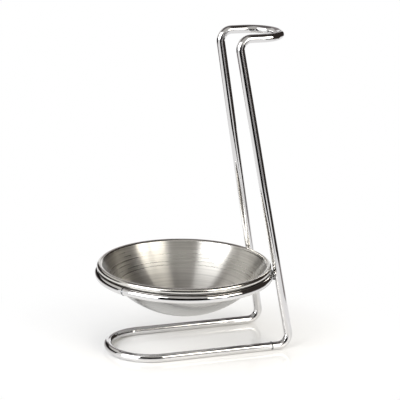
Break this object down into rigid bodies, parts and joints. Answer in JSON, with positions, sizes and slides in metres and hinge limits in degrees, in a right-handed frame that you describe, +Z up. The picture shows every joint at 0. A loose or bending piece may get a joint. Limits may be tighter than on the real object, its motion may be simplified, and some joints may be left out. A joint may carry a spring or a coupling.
{
  "type": "ladle rest",
  "caption": "Ladle rest: a bent-wire stand whose welded ring carries a lift-out round steel dish, with leaning uprights that end in a top loop for the ladle's handle.",
  "frame": {"origin": "on the table, under the middle of the outline", "axes": "+Z up, -Y to the front where the nose of the base and the dish are, +X to the right upright"},
  "size_m": [0.1178, 0.1256, 0.21],
  "materials": {
    "chromed_wire": "bright chrome plate on round steel wire",
    "brushed_dish": "stainless sheet, brushed round its axis, with a polished bead",
    "plated_weld": "weld bead, plated over and a little rough"
  },
  "bodies": {
    "stand": {"frame_wire": "chromed_wire", "support_ring": "chromed_wire", "ring_weld_left": "plated_weld", "ring_weld_right": "plated_weld", "frame_closing_weld": "plated_weld", "ring_closing_weld": "plated_weld"},
    "dish": {"dish": "brushed_dish"}
  },
  "joints": [
    {"name": "dish_lift", "type": "slide", "parent": "stand", "child": "dish", "axis": [0, -0.2588, 0.9659], "range_m": [0, 0.08]}
  ]
}
